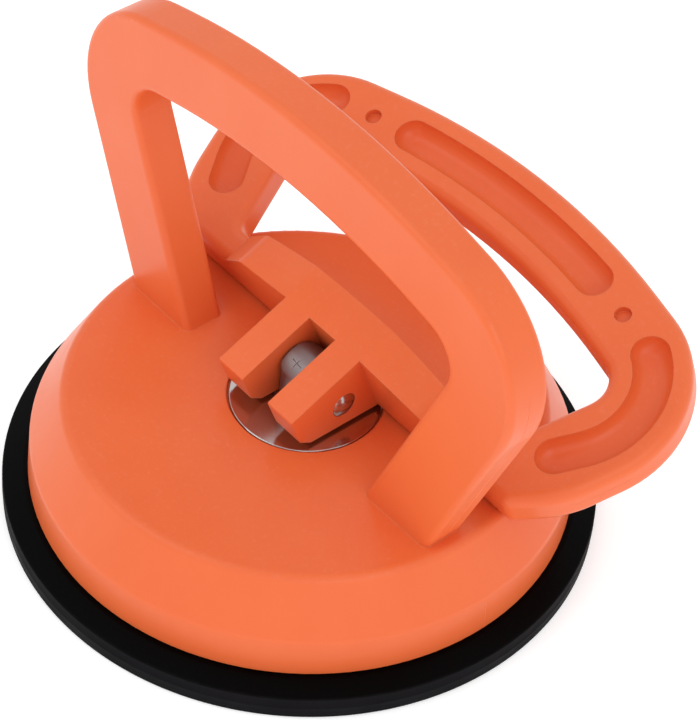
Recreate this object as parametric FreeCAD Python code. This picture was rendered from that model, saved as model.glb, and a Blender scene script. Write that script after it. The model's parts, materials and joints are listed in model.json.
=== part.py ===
import FreeCAD, Part
import math
import os

# Single-cup vacuum lifter: a rubber pad under a dished housing with a fixed D handle, and a
# forked lever that pulls the centre of the pad up through a stud. Millimetres, +Z up.
# The origin is the centre of the pad's flat face, which rests on the surface. X is the axis of
# the lever's pin and the width of the handles; the lever reaches out along +Y when released.

# ---- rubber pad and the steel plate in it
PAD_RADIUS = 59.0
PAD_RIM_WIDTH = 5.1
PAD_EDGE_THICKNESS = 5.2
PAD_SEAT_Z = 6.2
PAD_SEAT_WIDTH = 4.3
PAD_FLOOR_THICKNESS = 3.2
PAD_WEB_THICKNESS = 5.2
PAD_COLLAR_Z = 6.6
PAD_COLLAR_WALL = 3.6
PAD_LIP_WIDTH = 14.0
PAD_LIP_RAMP = 1.2
PAD_VACUUM_DEPTH = 0.6
PAD_SHOULDER = 0.9
PAD_SEAT_RAMP = 1.5
PAD_EDGE_RADIUS = 0.4
PLATE_RADIUS = 32.0
PLATE_THICKNESS = 2.5
PLATE_GAP = 0.3

# ---- stud
STUD_RADIUS = 5.3
STUD_FLANGE_RADIUS = 11.0
STUD_FLANGE_THICKNESS = 2.5
STUD_TENON_RADIUS = 4.0
STUD_RIVET_RADIUS = 6.0
STUD_RIVET_HEIGHT = 1.0
STUD_CHAMFER = 0.7
LIFT = 6.5
LIFT_CLEARANCE = 1.0
PRESS_CLEARANCE = 0.01
RUNNING_CLEARANCE = 0.06
FORK_CLEARANCE = 0.15

# ---- housing
HOUSING_WALL = 3.2
BAND_TOP_Z = 14.6
BAND_DRAFT = 0.5
SLOPE_RUN = 6.9
CREASE_Z = 25.7
ROOF_DISH = 0.5
SOFT_EDGE = 2.0
RIB_COUNT = 8
RIB_THICKNESS = 2.2
HUB_WALL = 4.6
MOULDED_EDGE = 0.5
MACHINED_EDGE = 0.2

# ---- pressure washer, in a shallow seat in the roof
WASHER_RADIUS = 15.0
WASHER_THICKNESS = 0.8
WASHER_BORE_CLEARANCE = 0.6
WASHER_SEAT_CLEARANCE = 0.4
WASHER_BELOW_ROOF = 0.3

# ---- fixed handle, one moulding with the housing
HANDLE_FRONT_Y = -8.4
HANDLE_DEPTH = 9.1
HANDLE_TOP_Z = 98.4
HANDLE_TOP_SLOPE = 0.235
HANDLE_TOP_CROWN_RADIUS = 165.0
HANDLE_CORNER_RADIUS = 22.5
HANDLE_FOOT_INSET = 2.8
HANDLE_LEG_SLOPE = 0.385
GRIP_BAR = 15.5
LEG_WIDTH = 17.3
LEG_INNER_SLOPE = 0.395
HANDLE_INNER_CORNER_RADIUS = 7.5
HANDLE_EDGE_RADIUS = 1.4

# ---- lever; U runs along the lever from the pin, N is square to its top face
LEVER_TILT = 21.0
TIP_LENGTH = 11.3
ARM_TOP_N = 8.0
FORK_SLOPE = 0.044
ARM_BOTTOM_DROP = 5.3
ARM_INNER_X = 3.8
ARM_OUTER_X = 10.9
TIP_BEVEL_UP = 1.8
TIP_BEVEL_BACK = 2.0
TIP_EDGE_RADIUS = 0.4
RELEASED_GAP = 0.8
FRAME_TOP_N = -0.95
FRAME_THICKNESS = 8.6
FRAME_REST_GAP = 0.5
FRAME_FRONT_GAP = 1.0
FRAME_FRONT_X = 53.4
FRAME_LEG_SLOPE = 0.36
GRIP_TOP_STEP = 5.9
FRAME_TOP_SLOPE = 0.236
FRAME_CROWN_RADIUS = 160.0
FRAME_CORNER_RADIUS = 23.5
FRAME_EDGE_RADIUS = 2.4
FRAME_GRIP_WIDTH = 16.2
OPENING_FRONT_U = 13.4
OPENING_FRONT_X = 37.7
OPENING_LEG_SLOPE = 0.375
OPENING_TOP_SLOPE = 0.25
OPENING_CROWN_RADIUS = 150.0
OPENING_CORNER_RADIUS = 6.0
OPENING_FOOT_RADIUS = 3.0
FRAME_FOOT_X = 48.5
FRAME_FOOT_RADIUS = 2.6
FRAME_KNEE_SLOPE = 1.0
FRAME_KNEE_RADIUS = 25.0
BAR_BULGE = 1.7
BAR_FLAT_X = 11.0
BAR_SHOULDER_X = 26.5
BAR_SHOULDER_DROP = 3.0
BAR_END_X = 33.2
BAR_FLAT_RADIUS = 6.0
BAR_SHOULDER_RADIUS = 4.0
FORK_EDGE_RADIUS = 0.5
POCKET_DEPTH = 3.6
POCKET_WIDTH = 7.6
POCKET_FLOOR_RADIUS = 3.0
GRIP_POCKET_END_X = 30.0
CORNER_POCKET_INSET = 7.4
CORNER_POCKET_START_ANGLE = 59.0
CORNER_POCKET_END_ANGLE = -33.0
CORNER_POCKET_LEG_RUN = 5.5
DIMPLE_RADIUS = 1.7
DIMPLE_DEPTH = 1.4
DIMPLE_X = 36.2

# ---- pivot pin, a rivet with a domed head at each end
PIN_RADIUS = 2.4
PIN_HEAD_OVERHANG = 0.3
PIN_HEAD_CLEARANCE = 0.03
PIN_HEAD_SINK = 0.7
PIN_HEAD_RIM_SINK = 0.1
PIN_HEAD_DOME = 0.9

# ---- sizes and places that follow from the values above
HOUSING_RADIUS = PAD_RADIUS - PAD_RIM_WIDTH
PAD_SEAT_INNER_RADIUS = HOUSING_RADIUS - PAD_SEAT_WIDTH
CREASE_RADIUS = HOUSING_RADIUS - SLOPE_RUN
ROOF_CENTRE_Z = CREASE_Z - ROOF_DISH
HANDLE_FOOT_X = CREASE_RADIUS - HANDLE_FOOT_INSET
PLATE_TOP_Z = PAD_FLOOR_THICKNESS + PLATE_THICKNESS
FLANGE_TOP_Z = PLATE_TOP_Z + STUD_FLANGE_THICKNESS
HUB_BOTTOM_Z = FLANGE_TOP_Z + LIFT + LIFT_CLEARANCE
RIB_BOTTOM_Z = PLATE_TOP_Z + LIFT + LIFT_CLEARANCE
WASHER_TOP_Z = ROOF_CENTRE_Z - WASHER_BELOW_ROOF
WASHER_FLOOR_Z = WASHER_TOP_Z - WASHER_THICKNESS
PIVOT_Z = WASHER_TOP_Z + RELEASED_GAP + ARM_BOTTOM_DROP
STUD_FLATS_X = ARM_INNER_X - FORK_CLEARANCE
FRAME_FRONT_U = STUD_RADIUS + FRAME_FRONT_GAP
STUD_FLATS_Z = PIVOT_Z - TIP_LENGTH - LIFT_CLEARANCE
FRAME_BOTTOM_N = FRAME_TOP_N - FRAME_THICKNESS
FRAME_TOP_U = HANDLE_TOP_Z - PIVOT_Z - GRIP_TOP_STEP
GRIP_MID_U = FRAME_TOP_U - FRAME_GRIP_WIDTH / 2
PIN_HEAD_RADIUS = PIN_RADIUS + PIN_HEAD_OVERHANG

# how far shapes that become one run into each other, and cutters run past a face
OVERLAP = 1.0


def rounded_wire(corners, to_point):
    """A closed wire through (a, b, radius) corners; to_point turns (a, b) into a vector."""
    edges = []
    ends = []
    count = len(corners)
    for i, (a, b, radius) in enumerate(corners):
        here = FreeCAD.Vector(a, b, 0)
        before = (FreeCAD.Vector(*corners[i - 1][:2], 0) - here).normalize()
        after = (FreeCAD.Vector(*corners[(i + 1) % count][:2], 0) - here).normalize()
        if radius == 0:
            ends.append((here, here, here))
            continue
        half = before.getAngle(after) / 2
        reach = radius / math.tan(half)
        middle = (before + after).normalize() * (radius / math.sin(half) - radius)
        ends.append((here + before * reach, here + middle, here + after * reach))
    for i, (start, middle, end) in enumerate(ends):
        if start != end:
            arc = Part.Arc(to_point(start), to_point(middle), to_point(end))
            edges.append(arc.toShape())
        following = ends[(i + 1) % count][0]
        if end.distanceToPoint(following) > 1e-6:
            edges.append(Part.makeLine(to_point(end), to_point(following)))
    return Part.Wire(edges)


def in_xz(y):
    return lambda p: FreeCAD.Vector(p.x, y, p.y)


def in_yz(x):
    return lambda p: FreeCAD.Vector(x, p.x, p.y)


def in_xy(z):
    return lambda p: FreeCAD.Vector(p.x, p.y, z)


def revolved(corners):
    """A solid of revolution about Z from (radius, z, corner radius) corners."""
    face = Part.Face(rounded_wire(corners, in_xz(0)))
    return face.revolve(FreeCAD.Vector(0, 0, 0), FreeCAD.Vector(0, 0, 1), 360)


def prism(corners, to_point, vector):
    return Part.Face(rounded_wire(corners, to_point)).extrude(vector)


def mirrored(half):
    """Corners of an outline that is symmetric about its second axis, from its right half."""
    left = [(-a, b, radius) for a, b, radius in reversed(half) if a != 0]
    return half + left


def edges_where(shape, test):
    return [e for e in shape.Edges if test(e.BoundBox)]


def crossing(slope_a, a0, b0, slope_b, b_at_zero):
    """Where a leg a = a0 + slope_a (b - b0) meets a falling edge b = b_at_zero - slope_b a."""
    a = (a0 + slope_a * (b_at_zero - b0)) / (1 + slope_a * slope_b)
    return a, b_at_zero - slope_b * a


def crown(top, slope, radius):
    """The height of a corner that a crown of this radius rounds down to top."""
    return top + radius * (math.hypot(1, slope) - 1)


def make_pad():
    plate_wall = PLATE_RADIUS + PLATE_GAP
    collar = plate_wall + PAD_COLLAR_WALL
    lip = PAD_RADIUS - PAD_LIP_WIDTH
    rivet_wall = STUD_RIVET_RADIUS + PLATE_GAP
    rivet_floor = PAD_FLOOR_THICKNESS - STUD_RIVET_HEIGHT - PLATE_GAP
    return revolved([
        (0, PAD_VACUUM_DEPTH, 0),
        (lip - PAD_LIP_RAMP, PAD_VACUUM_DEPTH, 0),
        (lip, 0, 0),
        (PAD_RADIUS, 0, PAD_EDGE_RADIUS),
        (PAD_RADIUS, PAD_EDGE_THICKNESS, PAD_EDGE_RADIUS),
        (HOUSING_RADIUS + PAD_SHOULDER, PAD_SEAT_Z, 0),
        (PAD_SEAT_INNER_RADIUS, PAD_SEAT_Z, 0),
        (PAD_SEAT_INNER_RADIUS - PAD_SEAT_RAMP, PAD_WEB_THICKNESS, 0),
        (collar, PAD_WEB_THICKNESS, MOULDED_EDGE),
        (collar, PAD_COLLAR_Z, MOULDED_EDGE),
        (plate_wall, PAD_COLLAR_Z, MOULDED_EDGE),
        (plate_wall, PAD_FLOOR_THICKNESS, 0),
        (rivet_wall, PAD_FLOOR_THICKNESS, 0),
        (rivet_wall, rivet_floor, 0),
        (0, rivet_floor, 0),
    ])


def make_plate():
    bore = STUD_TENON_RADIUS + PRESS_CLEARANCE
    return revolved([
        (bore, PAD_FLOOR_THICKNESS, 0),
        (PLATE_RADIUS, PAD_FLOOR_THICKNESS, MOULDED_EDGE),
        (PLATE_RADIUS, PLATE_TOP_Z, MOULDED_EDGE),
        (bore, PLATE_TOP_Z, 0),
    ])


def make_stud():
    top = PIVOT_Z + STUD_RADIUS
    rivet_bottom = PAD_FLOOR_THICKNESS - STUD_RIVET_HEIGHT
    bar = revolved([
        (0, rivet_bottom, 0),
        (STUD_RIVET_RADIUS, rivet_bottom, STUD_RIVET_HEIGHT / 2),
        (STUD_RIVET_RADIUS, PAD_FLOOR_THICKNESS, 0),
        (STUD_TENON_RADIUS, PAD_FLOOR_THICKNESS, 0),
        (STUD_TENON_RADIUS, PLATE_TOP_Z, 0),
        (STUD_FLANGE_RADIUS, PLATE_TOP_Z, 0),
        (STUD_FLANGE_RADIUS, FLANGE_TOP_Z, MOULDED_EDGE),
        (STUD_RADIUS, FLANGE_TOP_Z, MOULDED_EDGE),
        (STUD_RADIUS, top, 0),
        (0, top, 0),
    ])
    # the top is milled to a tongue with a round end about the pin
    reach = 2 * STUD_FLANGE_RADIUS
    for side in (-1, 1):
        flat = Part.makeBox(reach, reach, top, FreeCAD.Vector(0, -reach / 2, STUD_FLATS_Z))
        flat.translate(FreeCAD.Vector(STUD_FLATS_X if side > 0 else -STUD_FLATS_X - reach, 0, 0))
        bar = bar.cut(flat)
    round_end = Part.makeCylinder(
        STUD_RADIUS, reach, FreeCAD.Vector(-reach / 2, 0, PIVOT_Z), FreeCAD.Vector(1, 0, 0)
    )
    below = Part.makeBox(
        reach, reach, PIVOT_Z, FreeCAD.Vector(-reach / 2, -reach / 2, 0)
    )
    bar = bar.common(round_end.fuse(below)).removeSplitter()
    crest = edges_where(bar, lambda box: box.ZMax > PIVOT_Z + OVERLAP and box.XLength < 0.01)
    bar = bar.makeChamfer(STUD_CHAMFER, crest)
    hole = Part.makeCylinder(
        PIN_RADIUS + RUNNING_CLEARANCE,
        reach,
        FreeCAD.Vector(-reach / 2, 0, PIVOT_Z),
        FreeCAD.Vector(1, 0, 0),
    )
    return bar.cut(hole)


def make_washer():
    bore = STUD_RADIUS + WASHER_BORE_CLEARANCE
    return revolved([
        (bore, WASHER_FLOOR_Z, 0),
        (WASHER_RADIUS, WASHER_FLOOR_Z, MACHINED_EDGE),
        (WASHER_RADIUS, WASHER_TOP_Z, MACHINED_EDGE),
        (bore, WASHER_TOP_Z, MACHINED_EDGE),
    ])


def outer_shell():
    """The corners that the housing's skin and its solid envelope share, from the rim up."""
    return [
        (HOUSING_RADIUS, PAD_SEAT_Z, MOULDED_EDGE),
        (HOUSING_RADIUS - BAND_DRAFT, BAND_TOP_Z, SOFT_EDGE),
        (CREASE_RADIUS, CREASE_Z, SOFT_EDGE),
    ]


def make_housing():
    seat = WASHER_RADIUS + WASHER_SEAT_CLEARANCE
    bore = STUD_RADIUS + RUNNING_CLEARANCE
    hub = bore + HUB_WALL
    ceiling = ROOF_CENTRE_Z - HOUSING_WALL
    shell = revolved(outer_shell() + [
        (seat, ROOF_CENTRE_Z, MACHINED_EDGE),
        (seat, WASHER_FLOOR_Z, 0),
        (bore, WASHER_FLOOR_Z, 0),
        (bore, HUB_BOTTOM_Z, 0),
        (hub, HUB_BOTTOM_Z, MOULDED_EDGE),
        (hub, ceiling, SOFT_EDGE),
        (CREASE_RADIUS - HOUSING_WALL, ceiling, SOFT_EDGE),
        (HOUSING_RADIUS - BAND_DRAFT - HOUSING_WALL, BAND_TOP_Z, SOFT_EDGE),
        (HOUSING_RADIUS - HOUSING_WALL, PAD_SEAT_Z, 0),
    ])
    # ribs run from the hub to the wall, under the roof and clear of the stud's flange as it rises
    ribs = []
    run = HOUSING_RADIUS - HOUSING_WALL / 2 - hub + HUB_WALL / 2
    for i in range(RIB_COUNT):
        rib = Part.makeBox(
            run,
            RIB_THICKNESS,
            ceiling + OVERLAP - RIB_BOTTOM_Z,
            FreeCAD.Vector(hub - HUB_WALL / 2, -RIB_THICKNESS / 2, RIB_BOTTOM_Z),
        )
        rib.rotate(FreeCAD.Vector(0, 0, 0), FreeCAD.Vector(0, 0, 1), 360 / RIB_COUNT * (i + 0.5))
        ribs.append(rib)
    envelope = revolved([(0, PAD_SEAT_Z, 0)] + outer_shell() + [(0, ceiling + 1.5 * OVERLAP, 0)])
    flange_way = Part.makeCylinder(STUD_FLANGE_RADIUS + LIFT_CLEARANCE, HUB_BOTTOM_Z)
    ribs = [rib.common(envelope).cut(flange_way) for rib in ribs]
    return shell.fuse(ribs + [make_handle()]).removeSplitter()


def make_handle():
    foot_z = ROOF_CENTRE_Z - HOUSING_WALL / 2
    inner_foot_x = HANDLE_FOOT_X - LEG_WIDTH
    outer_peak = crown(HANDLE_TOP_Z, HANDLE_TOP_SLOPE, HANDLE_TOP_CROWN_RADIUS)
    inner_peak = crown(HANDLE_TOP_Z - GRIP_BAR, HANDLE_TOP_SLOPE, HANDLE_TOP_CROWN_RADIUS - GRIP_BAR)
    outer_corner = crossing(HANDLE_LEG_SLOPE, HANDLE_FOOT_X, CREASE_Z, HANDLE_TOP_SLOPE, outer_peak)
    inner_corner = crossing(LEG_INNER_SLOPE, inner_foot_x, CREASE_Z, HANDLE_TOP_SLOPE, inner_peak)
    sunk = CREASE_Z - foot_z
    across = FreeCAD.Vector(0, HANDLE_DEPTH, 0)
    outside = prism(mirrored([
        (0, outer_peak, HANDLE_TOP_CROWN_RADIUS),
        (*outer_corner, HANDLE_CORNER_RADIUS),
        (HANDLE_FOOT_X - HANDLE_LEG_SLOPE * sunk, foot_z, 0),
    ]), in_xz(HANDLE_FRONT_Y), across)
    opening = prism(mirrored([
        (0, inner_peak, HANDLE_TOP_CROWN_RADIUS - GRIP_BAR),
        (*inner_corner, HANDLE_INNER_CORNER_RADIUS),
        (inner_foot_x - LEG_INNER_SLOPE * sunk, foot_z, 0),
    ]), in_xz(HANDLE_FRONT_Y), across)
    bow = outside.cut(opening)
    rims = edges_where(bow, lambda box: box.YLength < 0.01 and box.ZMax > foot_z + OVERLAP)
    return bow.makeFillet(HANDLE_EDGE_RADIUS, rims)


def slot_cutter(path, width, depth, top):
    """A pocket of this width along a path in the XY plane, with round ends and a soft floor."""
    outline = path.makeOffset2D(width / 2)
    pocket = Part.Face(outline).extrude(FreeCAD.Vector(0, 0, depth))
    floor = edges_where(pocket, lambda box: box.ZMax < 0.01)
    pocket = pocket.makeFillet(POCKET_FLOOR_RADIUS, floor)
    mouth = Part.Face(outline).extrude(FreeCAD.Vector(0, 0, FRAME_THICKNESS))
    mouth.translate(FreeCAD.Vector(0, 0, depth))
    cutter = pocket.fuse(mouth)
    cutter.translate(FreeCAD.Vector(0, 0, top - depth))
    return cutter


def sag(x):
    """How far the crown of the grip has fallen at x from the middle."""
    return FRAME_CROWN_RADIUS - math.sqrt(FRAME_CROWN_RADIUS**2 - x**2)


def corner_path(corner):
    """The middle of a corner pocket: round with the D's outer corner, then down into its leg."""
    leg_angle = math.atan(FRAME_LEG_SLOPE)
    half = (math.pi / 2 - leg_angle + math.atan(FRAME_TOP_SLOPE)) / 2
    bisector = math.pi / 2 - leg_angle - half
    reach = FRAME_CORNER_RADIUS / math.sin(half)
    centre_x = corner[0] - reach * math.cos(bisector)
    centre_u = corner[1] - reach * math.sin(bisector)
    radius = FRAME_CORNER_RADIUS - CORNER_POCKET_INSET

    def around(degrees):
        angle = math.radians(degrees)
        return FreeCAD.Vector(
            centre_x + radius * math.cos(angle), centre_u + radius * math.sin(angle), 0
        )

    middle = (CORNER_POCKET_START_ANGLE + CORNER_POCKET_END_ANGLE) / 2
    end = around(CORNER_POCKET_END_ANGLE)
    turned = math.radians(CORNER_POCKET_END_ANGLE)
    down = FreeCAD.Vector(math.sin(turned), -math.cos(turned), 0)
    bend = Part.Arc(around(CORNER_POCKET_START_ANGLE), around(middle), end).toShape()
    return Part.Wire([bend, Part.makeLine(end, end + down * CORNER_POCKET_LEG_RUN)])


def make_frame():
    """The lever's D: a flat frame with pockets in its top face."""
    outer_peak = crown(FRAME_TOP_U, FRAME_TOP_SLOPE, FRAME_CROWN_RADIUS)
    inner_top = FRAME_TOP_U - FRAME_GRIP_WIDTH
    inner_peak = crown(inner_top, OPENING_TOP_SLOPE, OPENING_CROWN_RADIUS)
    outer_corner = crossing(
        FRAME_LEG_SLOPE, FRAME_FRONT_X, FRAME_FRONT_U, FRAME_TOP_SLOPE, outer_peak
    )
    inner_corner = crossing(
        OPENING_LEG_SLOPE, OPENING_FRONT_X, OPENING_FRONT_U, OPENING_TOP_SLOPE, inner_peak
    )
    # the leg bends in at a knee just before its foot
    knee_run = (FRAME_FRONT_X - FRAME_FOOT_X) / (FRAME_KNEE_SLOPE - FRAME_LEG_SLOPE)
    knee = (FRAME_FOOT_X + FRAME_KNEE_SLOPE * knee_run, FRAME_FRONT_U + knee_run)
    up = FreeCAD.Vector(0, 0, FRAME_THICKNESS)
    outside = prism(mirrored([
        (0, outer_peak, FRAME_CROWN_RADIUS),
        (*outer_corner, FRAME_CORNER_RADIUS),
        (*knee, FRAME_KNEE_RADIUS),
        (FRAME_FOOT_X, FRAME_FRONT_U, FRAME_FOOT_RADIUS),
    ]), in_xy(FRAME_BOTTOM_N), up)
    opening = prism(mirrored([
        (0, inner_peak, OPENING_CROWN_RADIUS),
        (*inner_corner, OPENING_CORNER_RADIUS),
        (OPENING_FRONT_X, OPENING_FRONT_U, OPENING_FOOT_RADIUS),
    ]), in_xy(FRAME_BOTTOM_N), up)
    frame = outside.cut(opening)
    rims = edges_where(frame, lambda box: box.ZLength < 0.01)
    frame = frame.makeFillet(FRAME_EDGE_RADIUS, rims)

    # the long pocket follows the crown of the grip
    end_x = GRIP_POCKET_END_X - POCKET_WIDTH / 2
    arc = Part.Arc(
        FreeCAD.Vector(-end_x, GRIP_MID_U - sag(end_x), 0),
        FreeCAD.Vector(0, GRIP_MID_U, 0),
        FreeCAD.Vector(end_x, GRIP_MID_U - sag(end_x), 0),
    )
    cutters = [
        slot_cutter(Part.Wire([arc.toShape()]), POCKET_WIDTH, POCKET_DEPTH, FRAME_TOP_N)
    ]
    corner_pocket = slot_cutter(
        corner_path(outer_corner), POCKET_WIDTH, POCKET_DEPTH, FRAME_TOP_N
    )
    dimple = Part.makeCylinder(
        DIMPLE_RADIUS,
        DIMPLE_DEPTH + OVERLAP,
        FreeCAD.Vector(DIMPLE_X, GRIP_MID_U - sag(DIMPLE_X), FRAME_TOP_N - DIMPLE_DEPTH),
    )
    for cutter in (corner_pocket, dimple):
        cutters.append(cutter)
        cutters.append(cutter.mirror(FreeCAD.Vector(0, 0, 0), FreeCAD.Vector(1, 0, 0)))
    return frame.cut(cutters)


def fork_top(u):
    return ARM_TOP_N + FORK_SLOPE * u


def level(u, drop):
    """N of a plane that lies level while the lever is released, this far below the pin."""
    tilt = math.radians(LEVER_TILT)
    return -(drop + u * math.sin(tilt)) / math.cos(tilt)


def make_bar():
    """The raised bar between the D's legs, which falls away to each side in two slopes."""
    top_n = fork_top(FRAME_FRONT_U)
    run = OPENING_FRONT_U + 2 * BAR_BULGE - FRAME_FRONT_U
    section = prism(mirrored([
        (BAR_FLAT_X, top_n, BAR_FLAT_RADIUS),
        (BAR_SHOULDER_X, top_n - BAR_SHOULDER_DROP, BAR_SHOULDER_RADIUS),
        (BAR_END_X, FRAME_TOP_N, 0),
        (BAR_END_X, FRAME_BOTTOM_N, 0),
    ]), in_xz(FRAME_FRONT_U), FreeCAD.Vector(0, run, FORK_SLOPE * run))
    front_left = FreeCAD.Vector(-BAR_END_X, FRAME_FRONT_U, FRAME_BOTTOM_N)
    front_right = FreeCAD.Vector(BAR_END_X, FRAME_FRONT_U, FRAME_BOTTOM_N)
    rear_left = FreeCAD.Vector(-BAR_END_X, OPENING_FRONT_U, FRAME_BOTTOM_N)
    rear_right = FreeCAD.Vector(BAR_END_X, OPENING_FRONT_U, FRAME_BOTTOM_N)
    bulge = FreeCAD.Vector(0, OPENING_FRONT_U + BAR_BULGE, FRAME_BOTTOM_N)
    plan = Part.Face(Part.Wire([
        Part.makeLine(front_right, front_left),
        Part.makeLine(front_left, rear_left),
        Part.Arc(rear_left, bulge, rear_right).toShape(),
        Part.makeLine(rear_right, front_right),
    ]))
    return section.common(plan.extrude(FreeCAD.Vector(0, 0, 2 * (ARM_TOP_N - FRAME_BOTTOM_N))))


def make_arms():
    """The two arms that straddle the stud; their undersides lie level while released."""
    bevel_u = -TIP_LENGTH + TIP_BEVEL_BACK
    root_u = FRAME_FRONT_U + OVERLAP
    corners = [
        (-TIP_LENGTH, fork_top(-TIP_LENGTH), FORK_EDGE_RADIUS),
        (-TIP_LENGTH, level(-TIP_LENGTH, ARM_BOTTOM_DROP) + TIP_BEVEL_UP, TIP_EDGE_RADIUS),
        (bevel_u, level(bevel_u, ARM_BOTTOM_DROP), TIP_EDGE_RADIUS),
        (FRAME_FRONT_U, level(FRAME_FRONT_U, ARM_BOTTOM_DROP), 0),
        (root_u, level(FRAME_FRONT_U, ARM_BOTTOM_DROP - 2 * OVERLAP), 0),
        (root_u, fork_top(root_u), 0),
    ]
    width = FreeCAD.Vector(ARM_OUTER_X - ARM_INNER_X, 0, 0)
    return [prism(corners, in_yz(x), width) for x in (-ARM_OUTER_X, ARM_INNER_X)]


def make_lever():
    lever = make_frame().fuse(make_bar())
    # the front of its underside is level too, just above the roof
    drop = PIVOT_Z - CREASE_Z - FRAME_REST_GAP
    front_u = FRAME_FRONT_U - OVERLAP
    rear_u = OPENING_FRONT_U + OVERLAP
    below = prism([
        (front_u, level(front_u, drop), 0),
        (rear_u, level(rear_u, drop), 0),
        (rear_u, level(rear_u, drop) - FRAME_THICKNESS, 0),
        (front_u, level(rear_u, drop) - FRAME_THICKNESS, 0),
    ], in_yz(-2 * FRAME_FRONT_X), FreeCAD.Vector(4 * FRAME_FRONT_X, 0, 0))
    lever = lever.cut(below).fuse(make_arms()).removeSplitter()
    bore = Part.makeCylinder(
        PIN_RADIUS + PRESS_CLEARANCE,
        4 * ARM_OUTER_X,
        FreeCAD.Vector(-2 * ARM_OUTER_X, 0, 0),
        FreeCAD.Vector(1, 0, 0),
    )
    cutters = [bore]
    for side in (-1, 1):
        cutters.append(Part.makeCylinder(
            PIN_HEAD_RADIUS + PIN_HEAD_CLEARANCE,
            PIN_HEAD_SINK + OVERLAP,
            FreeCAD.Vector(side * (ARM_OUTER_X - PIN_HEAD_SINK), 0, 0),
            FreeCAD.Vector(side, 0, 0),
        ))
    lever = lever.cut(cutters)
    lever.rotate(FreeCAD.Vector(0, 0, 0), FreeCAD.Vector(1, 0, 0), LEVER_TILT)
    lever.translate(FreeCAD.Vector(0, 0, PIVOT_Z))
    return lever


def make_pin():
    seat = ARM_OUTER_X - PIN_HEAD_SINK
    rim = ARM_OUTER_X - PIN_HEAD_RIM_SINK
    crest = rim + PIN_HEAD_DOME
    ball = (PIN_HEAD_RADIUS**2 + PIN_HEAD_DOME**2) / (2 * PIN_HEAD_DOME)
    midway = PIN_HEAD_RADIUS / 2
    dome = Part.Arc(
        FreeCAD.Vector(PIN_HEAD_RADIUS, rim, 0),
        FreeCAD.Vector(midway, crest - ball + math.sqrt(ball**2 - midway**2), 0),
        FreeCAD.Vector(0, crest, 0),
    ).toShape()
    half = Part.Wire([
        Part.makeLine(FreeCAD.Vector(0, 0, 0), FreeCAD.Vector(PIN_RADIUS, 0, 0)),
        Part.makeLine(FreeCAD.Vector(PIN_RADIUS, 0, 0), FreeCAD.Vector(PIN_RADIUS, seat, 0)),
        Part.makeLine(FreeCAD.Vector(PIN_RADIUS, seat, 0), FreeCAD.Vector(PIN_HEAD_RADIUS, seat, 0)),
        Part.makeLine(FreeCAD.Vector(PIN_HEAD_RADIUS, seat, 0), FreeCAD.Vector(PIN_HEAD_RADIUS, rim, 0)),
        dome,
        Part.makeLine(FreeCAD.Vector(0, crest, 0), FreeCAD.Vector(0, 0, 0)),
    ])
    half = Part.Face(half).revolve(FreeCAD.Vector(0, 0, 0), FreeCAD.Vector(0, 1, 0), 360)
    pin = half.fuse(half.mirror(FreeCAD.Vector(0, 0, 0), FreeCAD.Vector(0, 1, 0))).removeSplitter()
    pin.rotate(FreeCAD.Vector(0, 0, 0), FreeCAD.Vector(0, 0, 1), -90)
    pin.translate(FreeCAD.Vector(0, 0, PIVOT_Z))
    return pin


PIECES = {
    "suction_pad": make_pad,
    "insert_plate": make_plate,
    "stud": make_stud,
    "housing": make_housing,
    "pressure_washer": make_washer,
    "lever": make_lever,
    "pivot_pin": make_pin,
}

os.makedirs("parts", exist_ok=True)
for node, make in PIECES.items():
    shape = make()
    solids = shape.Solids
    if len(solids) != 1 or not shape.isValid():
        raise ValueError(f"{node} is {len(solids)} solids, valid {shape.isValid()}")
    solids[0].exportStep(f"parts/{node}.step")
    print(node, round(solids[0].Volume / 1000, 2), "cm3")
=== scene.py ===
import json
import math

import bmesh
import bpy
from bpy.props import FloatProperty, FloatVectorProperty, IntProperty, PointerProperty
from mathutils import Euler, Matrix, Vector
from mathutils.bvhtree import BVHTree


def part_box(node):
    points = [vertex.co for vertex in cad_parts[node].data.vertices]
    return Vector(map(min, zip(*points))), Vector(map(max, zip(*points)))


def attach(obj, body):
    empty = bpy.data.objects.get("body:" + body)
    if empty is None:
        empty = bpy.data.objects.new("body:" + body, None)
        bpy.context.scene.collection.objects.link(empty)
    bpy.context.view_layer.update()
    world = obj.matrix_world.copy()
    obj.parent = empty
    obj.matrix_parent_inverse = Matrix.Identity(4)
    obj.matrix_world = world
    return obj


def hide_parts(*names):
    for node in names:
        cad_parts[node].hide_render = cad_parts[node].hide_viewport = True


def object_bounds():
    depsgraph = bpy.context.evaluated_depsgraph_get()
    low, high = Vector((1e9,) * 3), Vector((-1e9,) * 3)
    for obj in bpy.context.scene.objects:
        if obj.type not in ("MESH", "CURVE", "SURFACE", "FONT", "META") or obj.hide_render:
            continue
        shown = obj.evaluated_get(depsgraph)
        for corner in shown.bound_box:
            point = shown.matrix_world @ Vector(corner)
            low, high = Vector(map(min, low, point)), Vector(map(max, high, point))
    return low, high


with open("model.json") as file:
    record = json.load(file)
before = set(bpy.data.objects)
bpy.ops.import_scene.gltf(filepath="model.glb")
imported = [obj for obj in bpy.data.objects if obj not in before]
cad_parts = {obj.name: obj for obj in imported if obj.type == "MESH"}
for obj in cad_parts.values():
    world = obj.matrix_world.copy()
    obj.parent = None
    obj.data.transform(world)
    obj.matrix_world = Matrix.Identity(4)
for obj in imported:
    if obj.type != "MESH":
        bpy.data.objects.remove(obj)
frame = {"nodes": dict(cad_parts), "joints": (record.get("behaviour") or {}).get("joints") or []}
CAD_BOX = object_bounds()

bl_info = {
    "name": "Vacuum lifter looks",
    "version": (1, 0, 0),
    "blender": (4, 5, 0),
    "location": "View3D > Sidebar > Lifter",
    "description": "Rubber, moulded plastic and steel finishes for a single-cup vacuum lifter",
    "category": "Object",
}

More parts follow.
